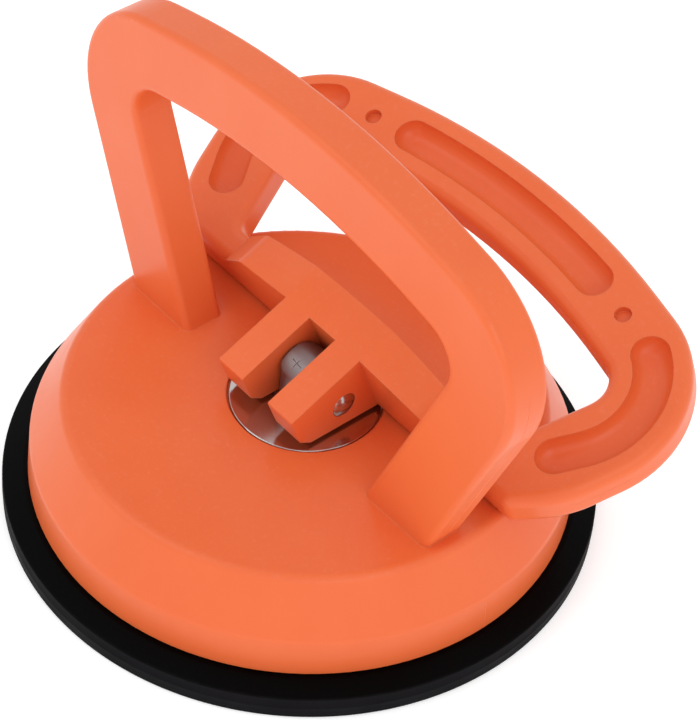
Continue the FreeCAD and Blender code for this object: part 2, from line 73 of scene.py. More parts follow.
PAD_LO, PAD_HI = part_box("suction_pad")
STUD_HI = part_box("stud")[1]
HOUSING_LO, HOUSING_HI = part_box("housing")
LEVER_HINGE = next(j for j in frame["joints"] if j["name"] == "lever_swing")
PIVOT = Vector(LEVER_HINGE["pos_m"])
# the parting planes: the middle of the handle's depth, and of the lever's thickness
HANDLE_MIDDLE_Y = -0.0039
LEVER_MIDDLE_N = -0.00525

# scales of the noise patterns, in cycles per metre
FLOW_SCALE = 55.0
SMUDGE_SCALE = 90.0
WEAR_SCALE = 260.0
DUST_SCALE = 900.0
# the flow marks are longer along Z than across it
FLOW_STRETCH = (1.0, 1.0, 0.45)

# smooth shading breaks at edges that turn by more than this
SHARP_ANGLE = math.radians(24)
# how dark a steel's stains are, as a share of its colour
STAIN_SHARE = 0.80

# the punched cross: the directions of its strokes and how far they narrow at the bottom
CROSS_TURNS = (math.radians(83), math.radians(-7))
CROSS_TAPER = 0.3

# seams: heights above the housing's lowest point or below its highest, and along the lever
RIM_SEAM_FROM, RIM_SEAM_TO, RIM_SEAM_POINTS = 0.0006, 0.0080, 24
LEG_SEAM_FROM, LEG_SEAM_BELOW_TOP, LEG_SEAM_POINTS = 0.0212, 0.024, 60
LEVER_SEAM_FROM, LEVER_SEAM_TO, LEVER_SEAM_POINTS = 0.016, 0.027, 30

# ejector marks: (x, z) on the handle's back and (x, u) under the lever; each is mirrored
HANDLE_SPOTS = ((0.0, 0.0904), (0.027, 0.0882), (0.0487, 0.060), (0.0413, 0.041))
LEVER_SPOTS = ((0.0, 0.0529), (0.027, 0.0507), (0.0527, 0.030), (0.0491, 0.020))


# ---------------------------------------------------------------- settings

def length(name, description, default, **limits):
    return FloatProperty(
        name=name, description=description, default=default, subtype="DISTANCE",
        unit="LENGTH", precision=5, min=0.0, **limits,
    )


def share(name, description, default):
    return FloatProperty(
        name=name, description=description, default=default, subtype="FACTOR", min=0.0, max=1.0
    )


def angle(name, description, degrees):
    return FloatProperty(
        name=name, description=description, default=math.radians(degrees), subtype="ANGLE",
        unit="ROTATION",
    )


def colour(name, description, default):
    return FloatVectorProperty(
        name=name, description=description, default=default, subtype="COLOR", size=3,
        min=0.0, max=1.0,
    )


class PlasticSettings(bpy.types.PropertyGroup):
    colour: colour("Colour", "Orange of the mouldings", (0.785, 0.150, 0.044))
    deep_colour: colour("Deep colour", "Redder orange of the flow marks", (0.765, 0.137, 0.038))
    # the edge colour and its share are a painted highlight along the mouldings' edges
    edge_highlight_colour: colour("Edge colour", "Paler orange where edges are rubbed", (0.86, 0.24, 0.095))
    roughness: share("Roughness", "Roughness of the satin skin", 0.36)
    coat: share("Coat", "Share of the glossier top skin", 0.06)
    edge_highlight_share: share("Edge highlight", "How far rubbed edges turn paler", 0.35)
    grain_size: length("Grain size", "Size of the spark-eroded grain", 0.0005)
    edge_radius: length("Edge radius", "Soft radius that a moulded edge shows", 0.0004)


class RubberSettings(bpy.types.PropertyGroup):
    colour: colour("Colour", "Black of the moulded rubber", (0.0006, 0.0005, 0.0006))
    # a painted sheen laid on the pad's side faces
    side_sheen_colour: colour("Side sheen colour", "Grey film on the pad's side", (0.0065, 0.0058, 0.0072))
    roughness: share("Roughness", "Roughness of the rubber", 0.42)
    grain_size: length("Grain size", "Size of the rubber's skin texture", 0.0004)


class SteelSettings(bpy.types.PropertyGroup):
    # the red cast of this grey is a painted reflection of the orange plastic round the stud
    stud_colour_with_reflection: colour("Stud colour", "Grey of the milled stud", (0.30, 0.262, 0.265))
    bright_colour: colour("Bright colour", "Polished washer and rivet pin", (0.60, 0.56, 0.55))
    stud_roughness: share("Stud roughness", "Roughness of the stud", 0.46)
    bright_roughness: share("Bright roughness", "Roughness of the polished steel", 0.17)


class PadSettings(bpy.types.PropertyGroup):
    edge_height: length("Edge height", "Height of the pad's outer edge", 0.0052)
    edge_radius: length("Edge radius", "Round of the outer edge", 0.0004)
    seat_height: length("Seat height", "Height of the ledge under the housing", 0.0062)
    seat_outer: length("Seat outer radius", "Outer radius of that ledge", 0.0548)
    seat_inner: length("Seat inner radius", "Inner radius of that ledge", 0.0496)
    web: length("Web", "Thickness of the thin web", 0.0052)
    collar: length("Collar radius", "Outer radius of the collar round the plate", 0.0359)
    pocket: length("Pocket radius", "Radius of the plate's pocket", 0.0323)
    floor: length("Floor", "Height of the pocket's floor", 0.0032)
    lip_inner: length("Lip inner radius", "Where the sealing lip starts", 0.045)
    vacuum_depth: length("Vacuum depth", "Recess inside the lip", 0.0006)
    flash: length("Flash", "How far the flash line stands proud on the side", 0.00006)
    ring_count: IntProperty(
        name="Rings", description="Fine rings on the pad's face", default=4, min=0, max=12
    )
    ring_first: length("First ring", "Radius of the innermost ring", 0.018)
    ring_step: length("Ring step", "Distance between rings", 0.0065)
    ring_bead: length("Ring bead", "Radius of a ring's round section", 0.0003)


class MouldSettings(bpy.types.PropertyGroup):
    seam: length("Seam", "Radius of the fine bead where the mould halves met", 0.00005)
    mark_radius: length("Mark radius", "Radius of an ejector pin's witness ring", 0.0021)
    mark_bead: length("Mark bead", "Radius of the witness ring's section", 0.00007)
    lever_tilt: angle("Lever tilt", "Slope of the lever's D while released", 21.0)


class PunchSettings(bpy.types.PropertyGroup):
    span: length("Span", "Length of each stroke of the punched cross", 0.0028)
    width: length("Width", "Width of a stroke", 0.0002)
    depth: length("Depth", "Depth of a stroke", 0.0003)
    lean: angle("Lean", "Where the cross sits round the stud's end", 35.0)


class StageSettings(bpy.types.PropertyGroup):
    azimuth: angle("Azimuth", "Camera's direction round the lifter", 46.17)
    elevation: angle("Elevation", "Camera's height above the horizon", 44.58)
    roll: angle("Roll", "Camera's roll", 4.97)
    distance: length("Distance", "Camera to the point it looks at", 0.51303)
    aim_height: length("Aim height", "Height of the point before it is shifted", 0.020)
    aim_right: length("Aim right", "Shift of the aim to the right", 0.0085)
    aim_up: length("Aim up", "Shift of the aim upwards", 0.0102)
    lens: FloatProperty(
        name="Lens", description="Focal length", default=131.775, subtype="DISTANCE_CAMERA",
        unit="CAMERA", min=1.0,
    )
    floor_colour: colour("Floor", "Pale floor", (0.92, 0.92, 0.92))
    floor_glow: FloatProperty(
        name="Floor glow", description="Light of the floor itself, as on a light table",
        default=0.36, min=0.0,
    )
    sky: FloatProperty(name="Sky", description="Strength of the even light", default=0.92, min=0.0)
    key: FloatProperty(name="Key", description="Power of the large key light", default=2.3,
                       subtype="POWER", unit="POWER", min=0.0)
    fill: FloatProperty(name="Fill", description="Power of the side light", default=2.2,
                        subtype="POWER", unit="POWER", min=0.0)


class LifterSettings(bpy.types.PropertyGroup):
    plastic: PointerProperty(type=PlasticSettings, name="Plastic", description="The mouldings")
    rubber: PointerProperty(type=RubberSettings, name="Rubber", description="The pad's finish")
    steel: PointerProperty(type=SteelSettings, name="Steel", description="The metal pieces")
    pad: PointerProperty(type=PadSettings, name="Pad", description="The pad's section")
    mould: PointerProperty(type=MouldSettings, name="Mould", description="Traces of the mould")
    punch: PointerProperty(type=PunchSettings, name="Punch", description="The stud's mark")
    stage: PointerProperty(type=StageSettings, name="Stage", description="Camera and light")


# ---------------------------------------------------------------- node helpers

def lay(tree, kind, inputs=None, **settings):
    """A node of this kind; an input is a socket to link from or a value to set."""
    node = tree.nodes.new(kind)
    node.location = (200 * len(tree.nodes), 0)
    for name, value in settings.items():
        setattr(node, name, value)
    for key, value in (inputs or {}).items():
        if isinstance(value, bpy.types.NodeSocket):
            tree.links.new(value, node.inputs[key])
        else:
            node.inputs[key].default_value = value
    return node


def maths(tree, operation, *values):
    return lay(tree, "ShaderNodeMath", dict(enumerate(values)), operation=operation).outputs[0]


def ranged(tree, value, low, high, to_low=0.0, to_high=1.0):
    return lay(tree, "ShaderNodeMapRange", {
        "Value": value, "From Min": low, "From Max": high, "To Min": to_low, "To Max": to_high,
    }).outputs["Result"]


def noise(tree, vector, scale, detail=3.0, roughness=0.5):
    return lay(tree, "ShaderNodeTexNoise", {
        "Vector": vector, "Scale": scale, "Detail": detail, "Roughness": roughness,
    }).outputs["Fac"]


def blend(tree, factor, first, second):
    """A colour mix, from first to second."""
    node = lay(tree, "ShaderNodeMix", data_type="RGBA")
    for index, value in ((0, factor), (6, first), (7, second)):
        if isinstance(value, bpy.types.NodeSocket):
            tree.links.new(value, node.inputs[index])
        else:
            node.inputs[index].default_value = value
    return node.outputs[2]


def opaque(rgb):
    return (*rgb, 1.0)


def new_group(name, kind, sockets):
    """An empty node group with (name, in or out, type, default) sockets."""
    tree = bpy.data.node_groups.new(name, kind)
    for label, way, socket_type, default in sockets:
        socket = tree.interface.new_socket(name=label, in_out=way, socket_type=socket_type)
        if default is not None:
            socket.default_value = default
    return tree, tree.nodes.new("NodeGroupInput"), tree.nodes.new("NodeGroupOutput")


def fine_grain():
    """Surface grain for a Bump's height, and a slow mottle for colour."""
    name = "Fine grain"
    if name in bpy.data.node_groups:
        return bpy.data.node_groups[name]
    tree, given, result = new_group(name, "ShaderNodeTree", [
        ("Grain Scale", "INPUT", "NodeSocketFloat", 2000.0),
        ("Waviness", "INPUT", "NodeSocketFloat", 0.5),
        ("Height", "OUTPUT", "NodeSocketFloat", None),
        ("Mottle", "OUTPUT", "NodeSocketFloat", None),
    ])
    place = lay(tree, "ShaderNodeTexCoord").outputs["Object"]
    grain = noise(tree, place, given.outputs["Grain Scale"], 2.0, 0.6)
    wave_scale = maths(tree, "MULTIPLY", given.outputs["Grain Scale"], 0.06)
    waves = noise(tree, place, wave_scale, 2.0)
    waves = maths(tree, "MULTIPLY", waves, given.outputs["Waviness"])
    tree.links.new(maths(tree, "ADD", grain, waves), result.inputs["Height"])
    # the melt's flow leaves slow, drawn-out streaks
    drawn = lay(tree, "ShaderNodeMapping", {"Vector": place, "Scale": FLOW_STRETCH})
    slow = noise(tree, drawn.outputs["Vector"], FLOW_SCALE, 4.0, 0.55)
    tree.links.new(ranged(tree, slow, 0.32, 0.68), result.inputs["Mottle"])
    return tree


# Its mask lightens edges: a painted highlight on the plastic and the rubber, polish on the steel.
def edge_highlights_and_wear():
    """A mask of exposed edges, broken up by noise, and the softened normal there."""
    name = "Worn edges"
    if name in bpy.data.node_groups:
        return bpy.data.node_groups[name]
    tree, given, result = new_group(name, "ShaderNodeTree", [
        ("Radius", "INPUT", "NodeSocketFloat", 0.0004),
        ("Break-up", "INPUT", "NodeSocketFloat", 0.5),
        ("Mask", "OUTPUT", "NodeSocketFloat", None),
        ("Normal", "OUTPUT", "NodeSocketVector", None),
    ])
    soft = lay(tree, "ShaderNodeBevel", {"Radius": given.outputs["Radius"]}, samples=6)
    true_normal = lay(tree, "ShaderNodeNewGeometry").outputs["Normal"]
    facing = lay(tree, "ShaderNodeVectorMath", {
        0: soft.outputs["Normal"], 1: true_normal,
    }, operation="DOT_PRODUCT").outputs["Value"]
    edge = ranged(tree, facing, 0.995, 0.86)
    place = lay(tree, "ShaderNodeTexCoord").outputs["Object"]
    patches = ranged(tree, noise(tree, place, WEAR_SCALE, 4.0, 0.6), 0.35, 0.65)
    kept = maths(tree, "SUBTRACT", 1.0, given.outputs["Break-up"])
    patches = maths(tree, "MULTIPLY", patches, given.outputs["Break-up"])
    mask = maths(tree, "MULTIPLY", edge, maths(tree, "ADD", kept, patches))
    tree.links.new(mask, result.inputs["Mask"])
    tree.links.new(soft.outputs["Normal"], result.inputs["Normal"])
    return tree


def handling_marks():
    """Smudges that change the gloss, and dust that settles on faces that look up."""
    name = "Handling marks"
    if name in bpy.data.node_groups:
        return bpy.data.node_groups[name]
    tree, given, result = new_group(name, "ShaderNodeTree", [
        ("Roughness", "INPUT", "NodeSocketFloat", 0.3),
        ("Spread", "INPUT", "NodeSocketFloat", 0.1),
        ("Roughness", "OUTPUT", "NodeSocketFloat", None),
        ("Dust", "OUTPUT", "NodeSocketFloat", None),
    ])
    place = lay(tree, "ShaderNodeTexCoord").outputs["Object"]
    smudge = noise(tree, place, SMUDGE_SCALE, 5.0, 0.6)
    swing = ranged(tree, smudge, 0.3, 0.7, -1.0, 1.0)
    swing = maths(tree, "MULTIPLY", swing, given.outputs["Spread"])
    rough = maths(tree, "ADD", given.outputs["Roughness"], swing)
    tree.links.new(rough, result.inputs["Roughness"])
    normal = lay(tree, "ShaderNodeNewGeometry").outputs["Normal"]
    up = lay(tree, "ShaderNodeSeparateXYZ", {"Vector": normal}).outputs["Z"]
    specks = ranged(tree, noise(tree, place, DUST_SCALE, 3.0, 0.7), 0.55, 0.75)
    dust = maths(tree, "MULTIPLY", ranged(tree, up, 0.4, 1.0), specks)
    tree.links.new(dust, result.inputs["Dust"])
    return tree


def use_group(tree, group, inputs):
    node = lay(tree, "ShaderNodeGroup")
    node.node_tree = group
    for key, value in inputs.items():
        node.inputs[key].default_value = value
    return node


def new_material(name):
    """An empty material with its Principled shader and output in place."""
    material = bpy.data.materials.new(name)
    material.use_nodes = True
    tree = material.node_tree
    tree.nodes.clear()
    shader = lay(tree, "ShaderNodeBsdfPrincipled")
    lay(tree, "ShaderNodeOutputMaterial", {"Surface": shader.outputs["BSDF"]})
    return material, tree, shader


def bump(tree, shader, height, depth, normal=None):
    inputs = {"Height": height, "Distance": depth, "Strength": 1.0}
    if normal is not None:
        inputs["Normal"] = normal
    made = lay(tree, "ShaderNodeBump", inputs)
    tree.links.new(made.outputs["Normal"], shader.inputs["Normal"])


# ---------------------------------------------------------------- finishes

def orange_plastic(settings):
    name = "Moulded orange plastic"
    if name in bpy.data.materials:
        return bpy.data.materials[name]
    material, tree, shader = new_material(name)
    grain = use_group(tree, fine_grain(), {
        "Grain Scale": 1.0 / settings.grain_size, "Waviness": 1.6,
    })
    edges = use_group(tree, edge_highlights_and_wear(), {"Radius": settings.edge_radius, "Break-up": 0.45})
    marks = use_group(tree, handling_marks(), {"Roughness": settings.roughness, "Spread": 0.05})
    base = blend(tree, grain.outputs["Mottle"], opaque(settings.colour),
                 opaque(settings.deep_colour))
    # painted highlight: the edges turn a paler orange
    highlighted = maths(tree, "MULTIPLY", edges.outputs["Mask"], settings.edge_highlight_share)
    base = blend(tree, highlighted, base, opaque(settings.edge_highlight_colour))
    dusty = maths(tree, "MULTIPLY", marks.outputs["Dust"], 0.05)
    base = blend(tree, dusty, base, (0.8, 0.62, 0.55, 1.0))
    tree.links.new(base, shader.inputs["Base Color"])
    tree.links.new(marks.outputs["Roughness"], shader.inputs["Roughness"])
    shader.inputs["Coat Weight"].default_value = settings.coat
    shader.inputs["Coat Roughness"].default_value = 0.12
    shader.inputs["Specular IOR Level"].default_value = 0.28
    bump(tree, shader, grain.outputs["Height"], 0.000012, edges.outputs["Normal"])
    return material


def flash_plastic(settings):
    """The thin skin of a seam or a witness ring, a little paler than the moulding: its paler
    orange is a painted highlight along the fine beads.
    """
    name = "Orange plastic flash"
    if name in bpy.data.materials:
        return bpy.data.materials[name]
    material, tree, shader = new_material(name)
    grain = use_group(tree, fine_grain(), {
        "Grain Scale": 1.0 / settings.grain_size, "Waviness": 0.8,
    })
    marks = use_group(tree, handling_marks(), {"Roughness": settings.roughness, "Spread": 0.04})
    base = blend(tree, grain.outputs["Mottle"], opaque(settings.edge_highlight_colour),
                 opaque(settings.colour))
    tree.links.new(base, shader.inputs["Base Color"])
    tree.links.new(marks.outputs["Roughness"], shader.inputs["Roughness"])
    bump(tree, shader, grain.outputs["Height"], 0.000006)
    return material


def black_rubber(settings):
    name = "Moulded black rubber"
    if name in bpy.data.materials:
        return bpy.data.materials[name]
    material, tree, shader = new_material(name)
    grain = use_group(tree, fine_grain(), {
        "Grain Scale": 1.0 / settings.grain_size, "Waviness": 2.0,
    })
    edges = use_group(tree, edge_highlights_and_wear(), {"Radius": 0.0006, "Break-up": 0.7})
    marks = use_group(tree, handling_marks(), {"Roughness": settings.roughness, "Spread": 0.08})
    # a painted sheen: the pad's side faces turn a lighter grey, broken up by the mottle
    normal = lay(tree, "ShaderNodeNewGeometry").outputs["Normal"]
    up = lay(tree, "ShaderNodeSeparateXYZ", {"Vector": normal}).outputs["Z"]
    side = ranged(tree, maths(tree, "ABSOLUTE", up), 0.75, 0.1)
    sheen = ranged(tree, grain.outputs["Mottle"], 0.0, 1.0, 0.55, 1.0)
    sheen = maths(tree, "MULTIPLY", side, sheen)
    base = blend(tree, sheen, opaque(settings.colour), opaque(settings.side_sheen_colour))
    # painted highlight: the pad's edges turn a lighter grey
    painted_edge_highlight = maths(tree, "MULTIPLY", edges.outputs["Mask"], 0.35)
    base = blend(tree, painted_edge_highlight, base, (0.06, 0.052, 0.055, 1.0))
    tree.links.new(base, shader.inputs["Base Color"])
    dull = maths(tree, "MULTIPLY", sheen, 0.25)
    rough = maths(tree, "ADD", marks.outputs["Roughness"], dull)
    tree.links.new(rough, shader.inputs["Roughness"])
    shader.inputs["Specular IOR Level"].default_value = 0.04
    bump(tree, shader, grain.outputs["Height"], 0.00003)
    return material


def turned_marks(tree, centre, spin, scale):
    """Fine rings left by a lathe, about an axis through centre; spin turns it onto Z."""
    place = lay(tree, "ShaderNodeTexCoord").outputs["Object"]
    moved = lay(tree, "ShaderNodeMapping", {
        "Vector": place, "Location": centre, "Rotation": spin,
    }).outputs["Vector"]
    return lay(tree, "ShaderNodeTexWave", {
        "Vector": moved, "Scale": scale, "Distortion": 2.5, "Detail": 3.0, "Detail Scale": 1.5,
    }, wave_type="RINGS", rings_direction="Z").outputs["Fac"]


def steel(name, tint, roughness, depth, centre=(0, 0, 0), spin=(0, 0, 0), rings=900.0):
    """A steel with lathe marks, faint stains and brighter edges."""
    if name in bpy.data.materials:
        return bpy.data.materials[name]
    material, tree, shader = new_material(name)
    grain = use_group(tree, fine_grain(), {"Grain Scale": 4200.0, "Waviness": 0.8})
    edges = use_group(tree, edge_highlights_and_wear(), {"Radius": 0.00025, "Break-up": 0.4})
    marks = use_group(tree, handling_marks(), {"Roughness": roughness, "Spread": 0.06})
    lathe = turned_marks(tree, centre, spin, rings)
    stained = [c * STAIN_SHARE for c in tint]
    base = blend(tree, grain.outputs["Mottle"], opaque(tint), opaque(stained))
    polish = maths(tree, "MULTIPLY", edges.outputs["Mask"], 0.5)
    base = blend(tree, polish, base, (0.86, 0.84, 0.82, 1.0))
    tree.links.new(base, shader.inputs["Base Color"])
    streaks = ranged(tree, lathe, 0.0, 1.0, -0.04, 0.04)
    rough = maths(tree, "ADD", marks.outputs["Roughness"], streaks)
    tree.links.new(rough, shader.inputs["Roughness"])
    shader.inputs["Metallic"].default_value = 1.0
    height = maths(tree, "ADD", maths(tree, "MULTIPLY", lathe, 0.6), grain.outputs["Height"])
    bump(tree, shader, height, depth, edges.outputs["Normal"])
    return material


def paint(node, material):
    """Puts a material in every slot of a CAD node."""
    piece = frame["nodes"][node]
    for slot in piece.material_slots:
        slot.material = material
    return piece


# ---------------------------------------------------------------- mesh helpers

def link(name, mesh, material=None):
    piece = bpy.data.objects.new(name, mesh)
    bpy.context.scene.collection.objects.link(piece)
    if material is not None:
        mesh.materials.append(material)
    return piece


def rounded(corners, steps=6):
    """Points of a section from (radius, height, corner radius) corners, in order."""
    points = []
    for i, (r, z, radius) in enumerate(corners):
        here = Vector((r, z))
        if radius == 0 or i in (0, len(corners) - 1):
            points.append(here)
            continue
        before = (Vector(corners[i - 1][:2]) - here).normalized()
        after = (Vector(corners[i + 1][:2]) - here).normalized()
        half = before.angle(after) / 2
        reach = radius / math.tan(half)
        centre = here + (before + after).normalized() * radius / math.sin(half)
        start, end = here + before * reach - centre, here + after * reach - centre
        for k in range(steps + 1):
            share_along = k / steps
            swing = start.slerp(end, share_along)
            points.append(centre + swing.normalized() * radius)
    return points


def turned(name, corners, material, count=240):
    """A closed solid of revolution about Z; its section starts and ends on the axis."""
    points = rounded(corners)
    work = bmesh.new()
    rings = []
    for r, z in points:
        if r < 1e-9:
            rings.append([work.verts.new((0, 0, z))])
            continue
        rings.append([
            work.verts.new((
                r * math.cos(2 * math.pi * k / count), r * math.sin(2 * math.pi * k / count), z
            )) for k in range(count)
        ])
    for low, high in zip(rings, rings[1:]):
        for k in range(count):
            following = (k + 1) % count
            face = [low[k % len(low)], low[following % len(low)],
                    high[following % len(high)], high[k % len(high)]]
            work.faces.new(list(dict.fromkeys(face)))
    bmesh.ops.recalc_face_normals(work, faces=work.faces)
    mesh = bpy.data.meshes.new(name)
    work.to_mesh(mesh)
    work.free()
    shade(mesh)
    return link(name, mesh, material)


def shade(mesh):
    """Smooth shading with sharp edges, from the faces alone."""
    stored = mesh.attributes.get("custom_normal")
    if stored is not None:
        mesh.attributes.remove(stored)
    mesh.polygons.foreach_set("use_smooth", [True] * len(mesh.polygons))
    mesh.set_sharp_from_angle(angle=SHARP_ANGLE)
    mesh.update()


def surface_of(node):
    mesh = frame["nodes"][node].data
    return BVHTree.FromPolygons(
        [v.co for v in mesh.vertices], [tuple(p.vertices) for p in mesh.polygons]
    )


def touched(surface, start, direction):
    """Where a ray first meets the surface."""
    place, normal, _, _ = surface.ray_cast(Vector(start), Vector(direction).normalized())
    if place is None:
        raise RuntimeError(f"nothing lies along {tuple(direction)} from {tuple(start)}")
    return place, normal


def path_mesh(name, runs):
    """A mesh of edges only, one chain for each run of points."""
    vertices, edges = [], []
    for run in runs:
        first = len(vertices)
        vertices += [tuple(p) for p in run]
        edges += [(first + i, first + i + 1) for i in range(len(run) - 1)]
    mesh = bpy.data.meshes.new(name)
    mesh.from_pydata(vertices, edges, [])
    return mesh


# ---------------------------------------------------------------- geometry nodes

GEOMETRY = "NodeSocketGeometry"
DISTANCE = "NodeSocketFloat"


def finish_tree(tree, given, result, geometry):
    """Ends a tree in Realize Instances, smooth shading and Set Material."""
    real = lay(tree, "GeometryNodeRealizeInstances", {"Geometry": geometry})
    smooth = lay(tree, "GeometryNodeSetShadeSmooth", {"Geometry": real.outputs["Geometry"]})
    dressed = lay(tree, "GeometryNodeSetMaterial", {
        "Geometry": smooth.outputs["Geometry"], "Material": given.outputs["Material"],
    })
    tree.links.new(dressed.outputs["Geometry"], result.inputs["Geometry"])
    return tree


def bead_tree():
    """A round bead along every chain of edges."""
    tree, given, result = new_group("Bead along a path", "GeometryNodeTree", [
        ("Geometry", "INPUT", GEOMETRY, None),
        ("Bead Radius", "INPUT", DISTANCE, 0.0001),
        ("Material", "INPUT", "NodeSocketMaterial", None),
        ("Geometry", "OUTPUT", GEOMETRY, None),
    ])
    path = lay(tree, "GeometryNodeMeshToCurve", {"Mesh": given.outputs["Geometry"]})
    section = lay(tree, "GeometryNodeCurvePrimitiveCircle", {
        "Resolution": 8, "Radius": given.outputs["Bead Radius"],
    })
    bead = lay(tree, "GeometryNodeCurveToMesh", {
        "Curve": path.outputs["Curve"], "Profile Curve": section.outputs["Curve"],
        "Fill Caps": True,
    })
    return finish_tree(tree, given, result, bead.outputs["Mesh"])


def witness_tree():
    """A thin ring at every point, facing along the point's stored direction."""
    tree, given, result = new_group("Witness rings", "GeometryNodeTree", [
        ("Geometry", "INPUT", GEOMETRY, None),
        ("Ring Radius", "INPUT", DISTANCE, 0.002),
        ("Bead Radius", "INPUT", DISTANCE, 0.0001),
        ("Material", "INPUT", "NodeSocketMaterial", None),
        ("Geometry", "OUTPUT", GEOMETRY, None),
    ])
    circle = lay(tree, "GeometryNodeCurvePrimitiveCircle", {
        "Resolution": 40, "Radius": given.outputs["Ring Radius"],
    })
    section = lay(tree, "GeometryNodeCurvePrimitiveCircle", {
        "Resolution": 6, "Radius": given.outputs["Bead Radius"],
    })
    ring = lay(tree, "GeometryNodeCurveToMesh", {
        "Curve": circle.outputs["Curve"], "Profile Curve": section.outputs["Curve"],
    })
    facing = lay(tree, "GeometryNodeInputNamedAttribute", {"Name": "facing"},
                 data_type="FLOAT_VECTOR")
    turn = lay(tree, "FunctionNodeAlignRotationToVector", {
        "Vector": facing.outputs["Attribute"],
    }, axis="Z")
    placed = lay(tree, "GeometryNodeInstanceOnPoints", {
        "Points": given.outputs["Geometry"], "Instance": ring.outputs["Mesh"],
        "Rotation": turn.outputs["Rotation"],
    })
    return finish_tree(tree, given, result, placed.outputs["Instances"])


def rings_tree():
    """Concentric round beads, a step apart, at one height."""
    tree, given, result = new_group("Concentric rings", "GeometryNodeTree", [
        ("Geometry", "INPUT", GEOMETRY, None),
        ("Count", "INPUT", "NodeSocketInt", 3),
        ("First Radius", "INPUT", DISTANCE, 0.02),
        ("Step", "INPUT", DISTANCE, 0.005),
        ("Height", "INPUT", DISTANCE, 0.0),
        ("Bead Radius", "INPUT", DISTANCE, 0.0003),
        ("Material", "INPUT", "NodeSocketMaterial", None),
        ("Geometry", "OUTPUT", GEOMETRY, None),
    ])
    points = lay(tree, "GeometryNodeMeshLine", {"Count": given.outputs["Count"]})
    index = lay(tree, "GeometryNodeInputIndex").outputs["Index"]
    out = maths(tree, "MULTIPLY", index, given.outputs["Step"])
    radius = maths(tree, "ADD", out, given.outputs["First Radius"])
    height = lay(tree, "ShaderNodeCombineXYZ", {"Z": given.outputs["Height"]})
    stacked = lay(tree, "GeometryNodeSetPosition", {
        "Geometry": points.outputs["Mesh"], "Position": height.outputs["Vector"],
    })
    unit = lay(tree, "GeometryNodeCurvePrimitiveCircle", {"Resolution": 160, "Radius": 1.0})
    placed = lay(tree, "GeometryNodeInstanceOnPoints", {
        "Points": stacked.outputs["Geometry"], "Instance": unit.outputs["Curve"], "Scale": radius,
    })
    curves = lay(tree, "GeometryNodeRealizeInstances", {"Geometry": placed.outputs["Instances"]})
    section = lay(tree, "GeometryNodeCurvePrimitiveCircle", {
        "Resolution": 8, "Radius": given.outputs["Bead Radius"],
    })
    beads = lay(tree, "GeometryNodeCurveToMesh", {
        "Curve": curves.outputs["Geometry"], "Profile Curve": section.outputs["Curve"],
    })
    return finish_tree(tree, given, result, beads.outputs["Mesh"])


def grown(name, seed, tree, values, body):
    """The plain mesh that a node tree makes from seed, riding on a body."""
    source = link(name + "_seed", seed)
    modifier = source.modifiers.new(tree.name, "NODES")
    modifier.node_group = tree
    identifiers = {
        item.name: item.identifier for item in tree.interface.items_tree
        if item.item_type == "SOCKET" and item.in_out == "INPUT"
    }
    for label, value in values.items():
        modifier[identifiers[label]] = value
    depsgraph = bpy.context.evaluated_depsgraph_get()
    mesh = bpy.data.meshes.new_from_object(source.evaluated_get(depsgraph), depsgraph=depsgraph)
    bpy.data.objects.remove(source)
    if not mesh.polygons:
        raise RuntimeError(f"{name} came out empty")
    work = bmesh.new()
    work.from_mesh(mesh)
    bmesh.ops.recalc_face_normals(work, faces=work.faces)
    work.to_mesh(mesh)
    work.free()
    mesh.name = name
    piece = link(name, mesh)
    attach(piece, body)
    return piece


def spaced(low, high, count):
    return [low + (high - low) * i / (count - 1) for i in range(count)]


def along_lever(tilt, u, n, x=0.0):
    """A point u along the released lever from its pin and n square to its top face."""
    return PIVOT + Matrix.Rotation(tilt, 4, "X") @ Vector((x, u, n))


# ---------------------------------------------------------------- operators

class PieceOperator:
    """What every piece's operator shares."""
    bl_options = {"REGISTER", "UNDO"}

    def execute(self, context):
        self.make(context.scene.lifter)
        return {"FINISHED"}


class LIFTER_OT_pad(PieceOperator, bpy.types.Operator):
    """Make the rubber pad with its flash line and the fine rings on its face"""
    bl_idname = "lifter.pad"
    bl_label = "Rubber pad"

    def make(self, lifter):
        pad = lifter.pad
        outer = PAD_HI.x
        side = outer - pad.flash
        middle = pad.edge_height / 2
        rivet_radius, rivet_floor = 0.0063, 0.0019
        lip_ramp, seat_ramp = 0.0012, 0.0015
        flash_foot, flash_tip = 0.00025, 0.00006
        rubber = black_rubber(lifter.rubber)
        # each corner of the section: radius, height, round
        piece = turned("rubber_pad", [
            (0, pad.vacuum_depth, 0),
            (pad.lip_inner - lip_ramp, pad.vacuum_depth, 0.0005),
            (pad.lip_inner, PAD_LO.z, 0.0005),
            (side, PAD_LO.z, pad.edge_radius),
            (side, middle - flash_foot, 0),
            (outer, middle - flash_tip, 0),
            (outer, middle + flash_tip, 0),
            (side, middle + flash_foot, 0),
            (side, pad.edge_height, pad.edge_radius),
            (pad.seat_outer, pad.seat_height, 0.0004),
            (pad.seat_inner, pad.seat_height, 0.0002),
            (pad.seat_inner - seat_ramp, pad.web, 0.0005),
            (pad.collar, pad.web, 0.0006),
            (pad.collar, PAD_HI.z, 0.0005),
            (pad.pocket, PAD_HI.z, 0.0003),
            (pad.pocket, pad.floor, 0),
            (rivet_radius, pad.floor, 0),
            (rivet_radius, rivet_floor, 0),
            (0, rivet_floor, 0),
        ], rubber)
        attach(piece, "base")
        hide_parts("suction_pad")
        grown("pad_face_rings", bpy.data.meshes.new("none"), rings_tree(), {
            "Count": pad.ring_count,
            "First Radius": pad.ring_first,
            "Step": pad.ring_step,
            "Height": pad.vacuum_depth,
            "Bead Radius": pad.ring_bead,
            "Material": rubber,
        }, "base")


